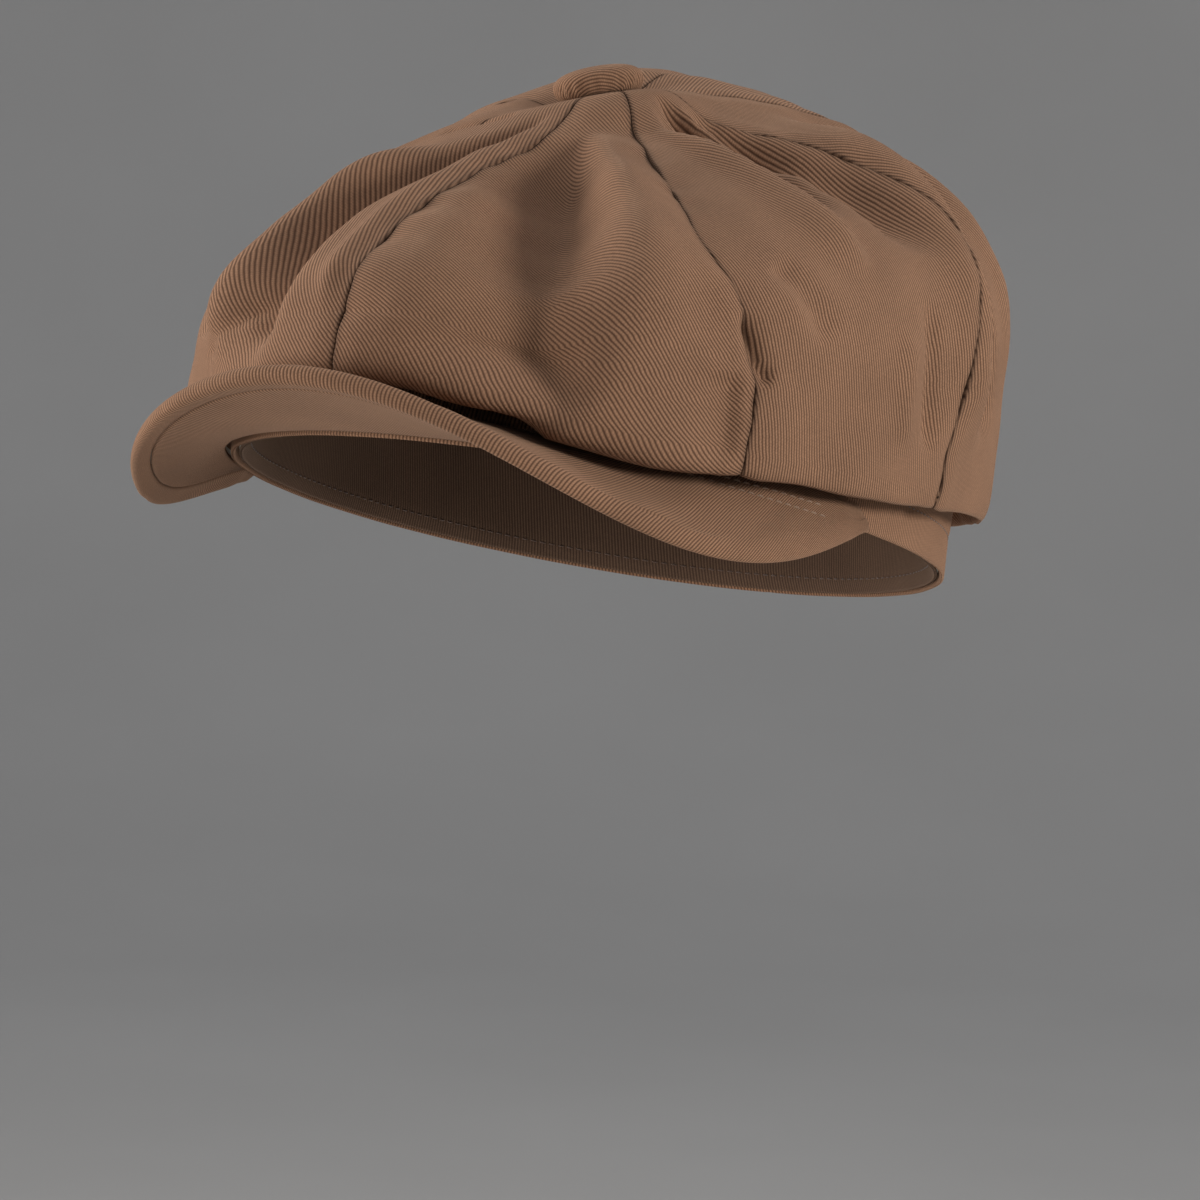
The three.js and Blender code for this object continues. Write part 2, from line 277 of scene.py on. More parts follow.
# ---- folds of the crown ----
# A fold is (kind, height, (width before, width after), line), in millimetres, and its line runs
# through a few (seam, t) points. A negative height is a valley. "soft" is rounded, "crease" is
# sharp, "fan" spreads from a point, and "spindle" is pinched at both ends.
FRONT_FOLDS = (
    # front left panel: a broad valley pinched on the visor, and the ridges on both sides of it
    ("spindle", -12.0, (22, 11), ((0.35, 0.15), (0.42, 0.5), (0.45, 1.0), (0.52, 1.42))),
    ("fan", 4.0, (8, 12), ((0.5, 0.15), (0.62, 0.5), (0.66, 1.0), (0.6, 1.35))),
    ("soft", 1.6, (8, 12), ((0.12, 0.3), (0.15, 0.7), (0.15, 1.2))),
    ("soft", 2.8, (9, 9), ((-0.35, 1.38), (0.1, 1.4), (0.5, 1.42), (1.0, 1.4))),
    # front right panel: a welt at the front seam, the deep valley behind it, and the next ridge
    ("soft", 1.5, (3, 3), ((-0.08, 0.25), (-0.08, 0.6), (-0.06, 1.0))),
    ("fan", -9.5, (9, 4), ((-0.1, 0.12), (-0.25, 0.35), (-0.3, 0.55), (-0.25, 0.85), (-0.3, 1.35))),
    ("soft", 5.0, (9, 6), ((-0.6, 0.3), (-0.5, 0.45), (-0.45, 0.65), (-0.45, 0.9), (-0.5, 1.2))),
    ("crease", -2.0, (3, 3), ((-0.3, 0.9), (-0.55, 1.15))),
    ("soft", -1.6, (4, 4), ((-0.6, 0.8), (-0.65, 1.0))),
    ("soft", -1.5, (3, 2), ((-0.6, 0.15), (-1.2, 0.3))),
    # beside the second seam
    ("crease", -2.6, (3, 2), ((0.93, 0.9), (1.05, 1.08))),
    ("soft", -2.4, (8, 3), ((0.92, 1.05), (0.94, 1.4))),
    ("soft", -2.0, (4, 5), ((1.05, 0.75), (1.25, 0.95))),
    # side front left panel: ridges and valleys that fan out from the button
    ("fan", 4.2, (9, 4), ((1.1, 0.12), (1.3, 0.4), (1.38, 0.62), (1.45, 0.8))),
    ("fan", -5.0, (4, 6), ((1.4, 0.12), (1.6, 0.24), (1.55, 0.4), (1.5, 0.6))),
    ("fan", 2.4, (4, 3), ((1.7, 0.14), (1.75, 0.3), (1.75, 0.48))),
    ("fan", -7.0, (8, 8), ((1.95, 0.15), (1.85, 0.35), (1.9, 0.5), (1.85, 0.75))),
    ("soft", -2.0, (3, 3), ((1.78, 0.85), (1.85, 1.25))),
    ("soft", 1.3, (4, 4), ((1.65, 0.9), (1.68, 1.25))),
    # third seam: a long ridge, the deep valley behind it, and the rib beyond that
    ("soft", 5.5, (12, 5), ((2.6, 0.25), (2.4, 0.45), (2.15, 0.7), (2.12, 0.95), (2.2, 1.25))),
    ("soft", -7.0, (5, 6), ((2.8, 0.3), (2.62, 0.5), (2.35, 0.72), (2.3, 0.95), (2.4, 1.2))),
    ("soft", 2.8, (5, 8), ((3.0, 0.3), (2.85, 0.5), (2.65, 0.75), (2.6, 1.0))),
)
# The sides and the back hang in gentler folds: (seam near the button, seam at the rim, height).
REST_FOLDS = (
    (2.95, 2.9, -2.6), (3.3, 3.5, -4.2), (3.7, 3.75, 2.2), (4.1, 4.05, 2.0), (4.35, 4.55, -4.2),
    (4.75, 4.8, 1.8), (5.25, 5.5, -4.0), (5.8, 5.9, 2.2), (6.25, 6.4, -3.8), (6.65, 6.8, 2.0),
)
REST_RUN = (0.25, 0.85, 1.42)
REST_WIDTHS = (10, 8)


def rest_fold(near_button, at_rim, height):
    middle = 0.5 * (near_button + at_rim)
    line = tuple(zip((near_button, middle, at_rim), REST_RUN))
    return "fan", height, REST_WIDTHS, line


FOLDS = FRONT_FOLDS + tuple(rest_fold(*row) for row in REST_FOLDS)

# How far a seam strays from its even place, in seams: (beside the button, on the panel).
SEAM_DRIFTS = {-1: (0.0, 0.05), 0: (0.15, 0.0), 1: (-0.12, -0.18), 2: (0.1, 0.15), 3: (0.05, 0.08)}


def seam_drift(index, t):
    beside_button, on_panel = SEAM_DRIFTS.get(index, (0.0, 0.0))
    leaving = smoothstep(0.1, 0.35, t)
    settled = smoothstep(0.6, 1.1, t)
    return beside_button * (1 - leaving) + on_panel * leaving * (1 - settled)


def fold_profile(kind, distance, width):
    if kind != "crease":
        return np.exp(-(distance / width) ** 2)
    blunt = 0.5
    return np.exp(-(np.sqrt(distance**2 + blunt**2) - blunt) / (0.62 * width))


def fold_spread(kind, along):
    """Share of its full width that a fold has at a fraction of its line."""
    if kind == "fan":
        return 0.35 + 0.65 * smoothstep(0.0, 0.6, along)
    if kind == "spindle":
        return 0.3 + 0.7 * np.sin(math.pi * along)
    return np.ones(len(along))


def fold_height(points, seam, t):
    """Sum of the folds' heights at points of the crown."""
    total = np.zeros(seam.shape)
    steps = 36
    along = np.linspace(0, 1, steps + 1)
    swell = smoothstep(0.0, 0.25, along) * (1 - smoothstep(0.75, 1.0, along))
    for kind, depth, widths, line_points in FOLDS:
        line = catmull(line_points, along * (len(line_points) - 1))
        spread = fold_spread(kind, along)
        middle = line[:, 0].mean()
        here = seam - GORES * np.round((seam - middle) / GORES)
        reach = (np.abs(here - middle) < 1.6) & (t > line[:, 1].min() - 0.35)
        reach &= t < line[:, 1].max() + 0.35
        spot, own = points[reach], here[reach]
        path = crown_base(line[:, 0], line[:, 1])
        best = np.full(len(spot), 1e9)
        height, width = np.zeros(len(spot)), np.ones(len(spot))
        for i in range(steps):
            a, b = path[i], path[i + 1]
            ab = b - a
            f = np.clip((spot - a) @ ab / max(ab @ ab, 1e-9), 0, 1)
            gap = np.linalg.norm(spot - a - f[:, None] * ab, axis=1)
            closer = gap < best
            side_seam = line[i, 0] + f * (line[i + 1, 0] - line[i, 0])
            side = np.where(own < side_seam, widths[0], widths[1])
            grown = spread[i] + f * (spread[i + 1] - spread[i])
            best = np.where(closer, gap, best)
            height = np.where(closer, depth * (swell[i] + f * (swell[i + 1] - swell[i])), height)
            width = np.where(closer, side * grown, width)
        total[reach] += height * fold_profile(kind, best, np.maximum(width, 0.8))
    return total


def ripples(seed, x, y, low, high, count=14):
    """Gentle band-limited waviness of unit size over a flat piece, in millimetres."""
    dice = np.random.default_rng(seed)
    total = 0 * x
    for _ in range(count):
        wave = dice.uniform(low, high)
        turn = dice.uniform(0, 2 * math.pi)
        phase = dice.uniform(0, 2 * math.pi)
        total = total + np.sin(2 * math.pi * (x * math.cos(turn) + y * math.sin(turn)) / wave + phase)
    return total / math.sqrt(count / 2)


# ---- flat patterns ----
def flatten(grid, rounds):
    """Lays a grid of points out flat, keeping its lengths. Returns (columns, rows, 2) in mm."""
    nc, nr = grid.shape[:2]
    index = np.arange(nc * nr).reshape(nc, nr)
    links = ((index[:-1], index[1:]), (index[:, :-1], index[:, 1:]),
             (index[:-1, :-1], index[1:, 1:]), (index[1:, :-1], index[:-1, 1:]))
    a, b = (np.concatenate([link[k].ravel() for link in links]) for k in (0, 1))
    points = grid.reshape(-1, 3)
    rest = np.linalg.norm(points[b] - points[a], axis=1)
    across = np.linalg.norm(np.diff(grid, axis=0), axis=2)
    x = np.concatenate([np.zeros((1, nr)), np.cumsum(across, axis=0)])
    x = x - x[nc // 2]
    y = np.broadcast_to(run_along(grid[nc // 2]), x.shape)
    flat = np.stack([x, y], -1).reshape(-1, 2)
    count = np.bincount(np.concatenate([a, b]), minlength=nc * nr)
    hurry = 1.3
    for _ in range(rounds):
        d = flat[b] - flat[a]
        size = np.maximum(np.linalg.norm(d, axis=1), 1e-9)
        push = d * (0.5 * (size - rest) / size)[:, None]
        for k in (0, 1):
            move = np.bincount(a, push[:, k], nc * nr) - np.bincount(b, push[:, k], nc * nr)
            flat[:, k] += hurry * move / count
    return flat.reshape(nc, nr, 2)


def sample_flat(flat, s, r):
    """Reads a flattened grid at fractions s across and r along it."""
    nc, nr = flat.shape[:2]
    x, y = np.clip(s, 0, 1) * (nc - 1), np.clip(r, 0, 1) * (nr - 1)
    i, j = np.minimum(x.astype(int), nc - 2), np.minimum(y.astype(int), nr - 2)
    fx, fy = (x - i)[..., None], (y - j)[..., None]
    low = flat[i, j] * (1 - fx) + flat[i + 1, j] * fx
    high = flat[i, j + 1] * (1 - fx) + flat[i + 1, j + 1] * fx
    return low * (1 - fy) + high * fy


def turned(flat, degrees):
    """Turns flat coordinates so that the ribs, at that angle from y, run along V."""
    c, s = math.cos(math.radians(degrees)), math.sin(math.radians(degrees))
    x, y = flat[..., 0], flat[..., 1]
    return np.stack([x * c - y * s, x * s + y * c], -1)


# ---- meshes ----
def grid_faces(nc, nr, ring):
    """Quads of a grid of vertices, and the column and row of each of their corners."""
    i, j = np.meshgrid(np.arange(nc if ring else nc - 1), np.arange(nr - 1), indexing="ij")
    spot = np.stack([i, i + 1, i + 1, i], -1).reshape(-1, 4)
    row = np.stack([j, j, j + 1, j + 1], -1).reshape(-1, 4)
    return spot % nc * nr + row, spot, row


def border_faces(nc, nr, ring):
    """Quads that join the two grids of a sheet along its edges, with their columns and rows."""
    i = np.arange(nc if ring else nc - 1)
    j = np.arange(nr - 1)
    edges = [(i, i + 1, 0 * i, 0 * i, 1), (i, i + 1, 0 * i + nr - 1, 0 * i + nr - 1, -1)]
    if not ring:
        edges += [(0 * j, 0 * j, j, j + 1, -1), (0 * j + nc - 1, 0 * j + nc - 1, j, j + 1, 1)]
    spots = np.concatenate([np.stack([a, a, b, b], -1)[:, ::order] for a, b, _, _, order in edges])
    rows = np.concatenate([np.stack([a, a, b, b], -1)[:, ::order] for _, _, a, b, order in edges])
    return spots % nc * nr + rows + nc * nr * np.array([0, 1, 1, 0]), spots, rows


def signed_volume(points, quads):
    a, b, c, d = (points[quads[:, k]] for k in range(4))
    return (a * (np.cross(b, c) + np.cross(c, d))).sum() / 6


def new_mesh(name, points, quads, uv, seam_shade=0.0):
    """Makes an object from points in mm and quads, with the map "weave" in mm."""
    if signed_volume(points, quads) < 0:
        quads, uv = quads[:, ::-1], uv[:, ::-1]
    mesh = bpy.data.meshes.new(name)
    mesh.vertices.add(len(points))
    mesh.vertices.foreach_set("co", to_row(points).astype(np.float32).ravel())
    mesh.loops.add(quads.size)
    mesh.loops.foreach_set("vertex_index", quads.astype(np.int32).ravel())
    mesh.polygons.add(len(quads))
    mesh.polygons.foreach_set("loop_start", np.arange(0, quads.size, 4, dtype=np.int32))
    mesh.polygons.foreach_set("use_smooth", np.ones(len(quads), dtype=bool))
    layer = mesh.uv_layers.new(name="weave")
    layer.data.foreach_set("uv", np.ascontiguousarray(uv, dtype=np.float32).ravel())
    # Painted seam shade, kept per point for the twill material.
    shade = mesh.attributes.new("seam_shade", "FLOAT", "POINT")
    shade.data.foreach_set("value", np.broadcast_to(seam_shade, len(points)).astype(np.float32))
    mesh.update(calc_edges=True)
    mesh.validate()
    piece = bpy.data.objects.new(name, mesh)
    bpy.context.scene.collection.objects.link(piece)
    return piece


def sheet_mesh(name, outer, inner, uv, ring=False, seam_shade=0.0):
    """A closed sheet between two grids of points. uv has one more column than a ring has."""
    nc, nr = outer.shape[:2]
    quads, spots, rows = grid_faces(nc, nr, ring)
    edge_quads, edge_spots, edge_rows = border_faces(nc, nr, ring)
    quads = np.concatenate([quads, quads[:, ::-1] + nc * nr, edge_quads])
    spots = np.concatenate([spots, spots[:, ::-1], edge_spots])
    rows = np.concatenate([rows, rows[:, ::-1], edge_rows])
    points = np.concatenate([outer.reshape(-1, 3), inner.reshape(-1, 3)])
    # Painted seam shade, the same on both sides of the sheet.
    shade = np.tile(np.broadcast_to(seam_shade, (nc, nr)).ravel(), 2)
    return new_mesh(name, points, quads, uv[spots, rows], shade)


def grid_normals(points, outward_hint):
    """Unit normals of a grid of points, on the side that the hint points to."""
    normals = unit(np.cross(np.gradient(points, axis=1), np.gradient(points, axis=0)))
    rows = outward_hint.shape[1]
    return normals * np.sign((normals[:, :rows] * outward_hint).sum(-1).mean())


# ---- gores ----
def edge_stations(radius, tuck):
    """(distance from the seam, drop) of the rolled edge of a gore, from its hidden end."""
    stations = [(SEAM_GAP, -radius - share * tuck) for share in (1, 0.5, 0)]
    for degrees in (68, 46, 24, 0):
        angle = math.radians(degrees)
        side = SEAM_GAP + radius * (1 - math.sin(angle))
        stations.append((side, -radius * (1 - math.cos(angle))))
    return np.array(stations)


def gore_columns(radius, tuck, inner_count):
    """Columns of a gore as (fraction, distance, drop): the edges are set in mm, the rest spread."""
    edge = edge_stations(radius, tuck)
    c = np.linspace(0, 1, inner_count + 2)[1:-1]
    spread = c - 0.62 * np.sin(2 * math.pi * c) / (2 * math.pi)
    left = [(0.0, d, z) for d, z in edge]
    right = [(1.0, -d, z) for d, z in edge[::-1]]
    start = edge[-1][0]
    middle = [(f, start * (1 - 2 * f), 0.0) for f in spread]
    return np.array(left + middle + right)


def even_stops(surface, first, last, count):
    """Values of t that space the rows of a gore evenly."""
    t = np.linspace(first, last, 600)
    middles = np.arange(GORES) - (GORES - 1) / 2
    run = np.mean([run_along(surface(np.full(600, seam), t)) for seam in middles], axis=0)
    return np.interp(np.linspace(0, run[-1], count), run, t)


def gore_sides(surface, index, stops):
    """Seam coordinates of the two sides of a gore at each value of t. Only the crown's stray."""
    low = index - GORES // 2
    if surface is lining_base:
        return low + 0 * stops, low + 1 + 0 * stops
    return low + seam_drift(low, stops), low + 1 + seam_drift(low + 1, stops)


def gore_grid(surface, index, stops, columns):
    """(seam, t, share across, distance from each seam, drop) for every vertex of a gore."""
    low, high = gore_sides(surface, index, stops)
    width = np.linalg.norm(surface(low, stops) - surface(high, stops), axis=1)
    scale = np.minimum(1.0, width / 8)
    share = columns[:, 0][:, None] + columns[:, 1][:, None] * (scale / width)[None, :]
    seam = low[None, :] + (high - low)[None, :] * share
    t = np.broadcast_to(stops[None, :], seam.shape)
    drop = columns[:, 2][:, None] * scale[None, :]
    return seam, t, share, share * width[None, :], (1 - share) * width[None, :], drop


def lay_flat(surface, index, stops, share, t, counts, rounds):
    """Flat pattern of a gore without its folds, and where each of its vertices lies on it."""
    across, along = counts
    coarse = stops[np.linspace(0, len(stops) - 1, along).astype(int)]
    low, high = gore_sides(surface, index, coarse)
    flat = flatten(surface(low + (high - low) * np.linspace(0, 1, across)[:, None], coarse), rounds)
    run = np.interp(t, coarse, np.linspace(0, 1, along))
    return flat, sample_flat(flat, share, run)


def pucker(distance, run, seed, size, reach, wave):
    """Small waves along a sewn seam that die out a few millimetres away from it."""
    dice = np.random.default_rng(seed)
    total = 0 * run
    for _ in range(4):
        own = wave * dice.uniform(0.7, 1.5)
        total = total + np.sin(2 * math.pi * run / own + dice.uniform(0, 6.28))
    return size * 0.5 * total * np.exp(-(distance / reach) ** 2)


def both_puckers(index, distances, run, seed, size, reach, wave):
    """Puckers along both seams of a gore, which two neighbours share."""
    low, high = distances
    total = pucker(low, run, seed + index, size, reach, wave)
    return total + pucker(high, run, seed + (index + 1) % GORES, size, reach, wave)


def fold_direction(seam, t):
    """Outward direction of the crown, evened out along each meridian so that deep folds fit."""
    last = 1.999
    near = [outward(crown_base, seam, np.clip(t + step, 0.02, 1.98), last)
            for step in (-0.2, -0.1, 0, 0.1, 0.2)]
    share = (smoothstep(0.3, 0.6, t) * (1 - smoothstep(1.4, 1.8, t)))[..., None]
    return unit(outward(crown_base, seam, t, last) * (1 - share) + unit(sum(near)) * share)


def crown_relief(index, base, seam, t, cloth, distances):
    """Height of the crown's cloth over its plain shape: folds, waves, seams and hem gathers."""
    x, y = cloth[..., 0], cloth[..., 1]
    near = np.minimum(*distances)
    fade = smoothstep(9, 20, y)
    waves = 0.22 * ripples(40 + index, x, y, 16, 46)
    puckers = both_puckers(index, distances, y, 100, 0.16, 4.5, 12)
    seam_groove = -0.28 * np.exp(-(near / 2.4) ** 2)
    seam_ridge = 0.12 * np.exp(-((near - 5.2) / 2.2) ** 2)
    relief = fold_height(base, seam, t) + (waves + puckers + seam_groove + seam_ridge) * fade
    gathers = 0.8 * np.sin(2 * math.pi * x / 9.5 + 1.7 * index) * smoothstep(1.55, 1.9, t)
    return relief + gathers * smoothstep(0, 6, near) * (1 - smoothstep(1.93, 1.99, t))


def build_crown_gore(index, stops, columns, look):
    seam, t, share, from_low, from_high, drop = gore_grid(crown_base, index, stops, columns)
    base = crown_base(seam, t)
    normal = fold_direction(seam, t)
    flat, cloth = lay_flat(crown_base, index, stops, share, t, (13, 45), 500)
    relief = crown_relief(index, base, seam, t, cloth, (from_low, from_high))
    outer = tuck_hem(base + normal * (relief + drop)[..., None])
    inner = outer - CROWN_CLOTH * grid_normals(outer, normal)
    hidden = drop <= -0.3
    near = np.minimum(from_low, from_high)
    # Painted shade: 1 on the turned-in edges, falling off within about a millimetre of each seam; the
    # twill's colour is darkened by it.
    seam_shade = np.where(hidden, 1.0, np.exp(-(near / 0.9) ** 2))
    uv = extend_rows(turned(cloth, RIB_ANGLES[index]))
    name = "crown_" + GORE_NAMES[index] + "_cloth"
    piece = sheet_mesh(name, outer, inner, uv, seam_shade=extend_rows(seam_shade))
    finish_cloth(piece, look, "twill")
    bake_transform(piece)
    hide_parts("crown_gore_" + GORE_NAMES[index])
    declare_gore(flat, 12)


def tuck_hem(outer):
    """Turns the last rows of a gore in over the top of the headband."""
    last = outer[:, -1]
    inward = unit(-last * LEVEL)
    rows = [last + inward * side - UP * fall for side, fall in HEM_ROWS]
    return np.concatenate([outer, np.stack(rows, axis=1)], axis=1)


def extend_rows(grid):
    """Repeats the last row of a grid for the rows of the hem."""
    return np.concatenate([grid, np.repeat(grid[:, -1:], len(HEM_ROWS), axis=1)], axis=1)


def build_crown(look):
    columns = gore_columns(0.5, 2.4, 60)
    stops = even_stops(crown_base, CROWN_START, CROWN_END, 132)
    for index in range(GORES):
        build_crown_gore(index, stops, columns, look)


def declare_gore(flat, allowance):
    """Works out the width, length and area of a gore's flat pattern with a seam allowance, and keeps
    none of them.
    """
    width, length = (np.ptp(flat.reshape(-1, 2), axis=0) + allowance) / 1000
    across = np.linalg.norm(np.diff(flat, axis=0), axis=2).sum(axis=0)
    step = np.diff(run_along(flat[flat.shape[0] // 2]))
    area = (0.5 * (across[1:] + across[:-1] + 2 * allowance) * step).sum() / 1e6
    area = min(area, 0.98 * width * length)


def finish_cloth(piece, look, slot):
    piece.data.materials.clear()
    piece.data.materials.append(look)


def room_under_crown(base, normal, seam):
    """How far in the lining has to move so that it clears the folds of the crown over it."""
    stops = np.linspace(CROWN_START, 1.0, 70)
    reach = np.linalg.norm((base - BUTTON)[..., :2], axis=-1)
    over = crown_base(seam[..., None], stops)
    spread = np.linalg.norm((over - BUTTON)[..., :2], axis=-1)
    t = stops[np.argmin(np.abs(spread - reach[..., None]), axis=-1)]
    above = crown_base(seam, t)
    gap = ((above - base) * normal).sum(-1) + fold_height(above, seam, t)
    least = 1.4
    room = gap - CROWN_CLOTH - LINING_CLOTH - least
    return 0.5 * (np.sqrt(room**2 + 1.5) - room)


def build_lining(look):
    columns = gore_columns(0.5, 1.2, 30)
    stops = even_stops(lining_base, 0.06, 0.995, 70)
    for index in range(GORES):
        seam, t, share, from_low, from_high, drop = gore_grid(lining_base, index, stops, columns)
        base = lining_base(seam, t)
        normal = outward(lining_base, seam, t, 0.999)
        flat, cloth = lay_flat(lining_base, index, stops, share, t, (9, 31), 300)
        x, y = cloth[..., 0], cloth[..., 1]
        relief = 0.25 * ripples(240 + index, x, y, 18, 40)
        relief = relief + both_puckers(index, (from_low, from_high), y, 300, 0.3, 5, 9)
        relief = relief * smoothstep(6, 16, y) + room_under_crown(base, normal, seam)
        inside = base - normal * (relief - drop)[..., None]
        outer = inside + LINING_CLOTH * grid_normals(inside, normal)
        name = "lining_" + GORE_NAMES[index] + "_cloth"
        piece = sheet_mesh(name, outer, inside, turned(cloth, 45))
        finish_cloth(piece, look, "lining")
        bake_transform(piece)
        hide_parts("lining_gore_" + GORE_NAMES[index])
        declare_gore(flat, 10)


# ---- headband and sweatband ----
def rounded_section(outset, thickness, bottom, top, rows):
    """Outline (outset, height) of a band with rounded edges: outside rows, then inside rows."""
    half = thickness / 2
    arc = [math.radians(d) for d in (0, 30, 60, 90)]
    outside = [(outset - half + half * math.sin(a), bottom + half - half * math.cos(a)) for a in arc]
    heights = np.linspace(bottom + half, top - half, rows + 2)[1:-1]
    outside += [(outset, h) for h in heights]
    outside += [(outset - half + half * math.cos(a), top - half + half * math.sin(a)) for a in arc]
    inside = [(2 * outset - thickness - o, h) for o, h in outside]
    return np.array(outside), np.array(inside)


def ring_piece(name, outset, thickness, bottom, top, rows, shape, angle_degrees, columns=300):
    outside, inside = rounded_section(outset, thickness, bottom, top, rows)
    angle = np.arange(columns) / columns * 2 * math.pi

    def surface(section):
        outset, height = section[None, :, 0], section[None, :, 1]
        push = shape(angle[:, None], height)
        return band_point(angle[:, None] + 0 * push, outset + push, height + 0 * push)

    outer, inner = surface(outside), surface(inside)
    closed = np.concatenate([angle, [2 * math.pi]])
    run = run_along(band_point(closed, outset, 0))
    flat = np.stack(np.broadcast_arrays(run[:, None], outside[None, :, 1]), -1)
    piece = sheet_mesh(name, outer, inner, turned(flat, angle_degrees), ring=True)
    return piece, run[-1]


def band_shape(angle, height):
    """Outset of the headband's cloth: slight waves, a line under the stitches, the back seam."""
    wave = 0.16 * np.sin(9 * angle + 0.4) * np.sin(0.11 * height + 2 * angle)
    wave = wave + 0.10 * np.sin(23 * angle + 1.1) * np.cos(0.2 * height)
    line = -0.32 * np.exp(-((height - BAND_STITCHES) / 0.9) ** 2)
    flare = 0.35 * (1 - smoothstep(0, 9, height))
    seam = -0.5 * np.exp(-((np.abs(angle - math.pi) * BAND_LENGTH) / 0.9) ** 2)
    return wave + line + flare + seam


def sweatband_shape(angle, height):
    wave = 0.14 * np.sin(11 * angle + 2.0) * np.sin(0.15 * height)
    line = 0.2 * np.exp(-((height - SWEATBAND_STITCHES) / 0.8) ** 2)
    close = 1.25 * (1 - smoothstep(0.4, 4.5, height))
    return wave + line - 0.15 + close


def flat_shape(angle, height):
    return 0 * angle * height


def along_path(path, run, places):
    return np.stack([np.interp(places, run, path[:, axis]) for axis in range(3)], -1)


def stitch_faces(rings, sides):
    """Quads and map of one stitch: a tube with a cap on each end."""
    s, r = (grid.ravel() for grid in np.meshgrid(np.arange(sides), np.arange(rings - 1)))
    corners = np.stack([s, s + 1, s + 1, s], -1)
    levels = np.stack([r, r, r + 1, r + 1], -1)
    cap = np.array([[0, 1, 2, 3], [0, 3, 4, 5]])
    quads = [levels * sides + corners % sides, cap[:, ::-1], cap + (rings - 1) * sides]
    uv = np.stack([0.2 * corners, 0.4 * levels], -1)
    return np.concatenate(quads), np.concatenate([uv, np.zeros((4, 4, 2))])


def stitch_row(name, path, normals, pitch, length, radius, look, wander=3):
    """Separate stitches along a path of points, each one a short thread with narrow, sunk ends."""
    rings, sides, sink = 7, 7, 0.1
    run = run_along(path)
    count = int(run[-1] / pitch)
    middle = (np.arange(count) + 0.5) * pitch
    middle = middle + np.random.default_rng(wander).uniform(-0.08, 0.08, count)
    start, end = (along_path(path, run, middle + step) for step in (-length / 2, length / 2))
    normal = unit(along_path(normals, run, middle))
    side = np.cross(normal, unit(end - start))
    f = np.linspace(0, 1, rings)[:, None]
    bulge = np.sqrt(np.maximum(1e-3, 1 - (2 * f - 1) ** 4))
    lift = radius * (bulge - 0.75) - sink * (2 * f - 1) ** 2
    centre = start[:, None] + (end - start)[:, None] * f + normal[:, None] * lift
    turn = (np.arange(sides) / sides * 2 * math.pi)[:, None]
    spread = np.cos(turn) * side[:, None] + np.sin(turn) * normal[:, None]
    points = centre[:, :, None] + (radius * bulge)[:, :, None] * spread[:, None]
    quads, uv = stitch_faces(rings, sides)
    quads = quads + (np.arange(count) * rings * sides)[:, None, None]
    piece = new_mesh(name, points.reshape(-1, 3), quads.reshape(-1, 4), np.tile(uv, (count, 1, 1)))
    finish_cloth(piece, look, "twill")
    return piece


def front_blend(piece):
    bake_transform(piece)


def band_stitches(name, outset, height, facing, length, look):
    """A row of stitches round the band, on the outside or the inside."""
    path = band_point(np.linspace(0, 2 * math.pi, 601), outset, height)
    normals = facing * unit(path * LEVEL)
    front_blend(stitch_row(name, path, normals, STITCH_PITCH, length, 0.17, look))


def band_layer(name, node, cloth, section, shape, rib_angle):
    """One ring of the band. A cloth is (material, slot)."""
    piece, girth = ring_piece(name, *section, shape, rib_angle)
    finish_cloth(piece, *cloth)
    front_blend(piece)
    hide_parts(node)


def build_band(looks):
    angle = np.linspace(0, 2 * math.pi, 601)
    band_layer("headband_cloth", "headband_outer", (looks["twill"], "twill"),
               (0, BAND_CLOTH, 0, BAND_HEIGHT, 40), band_shape, 8)
    outset = band_shape(angle, np.full(601, BAND_STITCHES)) + 0.04
    band_stitches("headband_stitches", outset, BAND_STITCHES, 1, 1.9, looks["thread"])
    band_layer("stiffener_strip", "headband_stiffener", (looks["interlining"], "interlining"),
               (-1.5, 0.8, 1.5, BAND_HEIGHT - 1, 8), flat_shape, 0)
    band_layer("sweatband_cloth", "sweatband", (looks["sweatband"], "sweatband"),
               (-2.6, BAND_CLOTH, 0.5, BAND_HEIGHT - 0.5, 30), sweatband_shape, 12)
    outset = sweatband_shape(angle, np.full(601, SWEATBAND_STITCHES)) - 3.95
    band_stitches("sweatband_stitches", outset, SWEATBAND_STITCHES, -1, 1.8, looks["thread"])


# ---- visor ----
def visor_middle(side, back):
    """Point of the visor's middle surface, back millimetres in from its outer edge."""
    angle = VISOR_HALF_ANGLE * side
    depth = visor_depth(side) + VISOR_ROOT_GAP
    wave = np.cos(VISOR_WAVE * side)
    edge_height = VISOR_MEAN_HEIGHT + VISOR_SWING * wave + VISOR_LIFT * right_lobe(side)
    out = 1 - back / (depth - VISOR_ROOT_GAP)
    outset = VISOR_ROOT_GAP + (depth - VISOR_ROOT_GAP) * out
    height = VISOR_ROOT_HEIGHT + (edge_height - VISOR_ROOT_HEIGHT) * out
    return band_point(angle, outset, 0) + UP * height[..., None]


def visor_taper(side):
    return np.maximum(np.cos(math.pi / 2 * side), 0) ** 1.25


def right_lobe(side):
    return smoothstep(0.2, 0.55, -side) * np.minimum(1, 2 * visor_taper(side))


def visor_depth(side):
    """From the visor's root to its edge."""
    full = VISOR_END_DEPTH + (VISOR_DEPTH - VISOR_END_DEPTH) * visor_taper(side)
    return full - VISOR_TUCK * right_lobe(side) - VISOR_ROOT_GAP


def end_slim(side):
    """Thins the visor at its two ends, down to a little more than the board."""
    return np.sqrt(np.clip((0.992 - np.abs(side)) / 0.05, 0.4, 1))


def visor_surface(side, section):
    """Grid of points from a section of (share of depth, mm from the edge, height)."""
    side = side[:, None]
    slim = end_slim(side)
    share, inset, height = section.T[:, None, :]
    back = share * visor_depth(side) + inset * slim
    return visor_middle(side + 0 * back, back) + UP * (height * slim)[..., None]


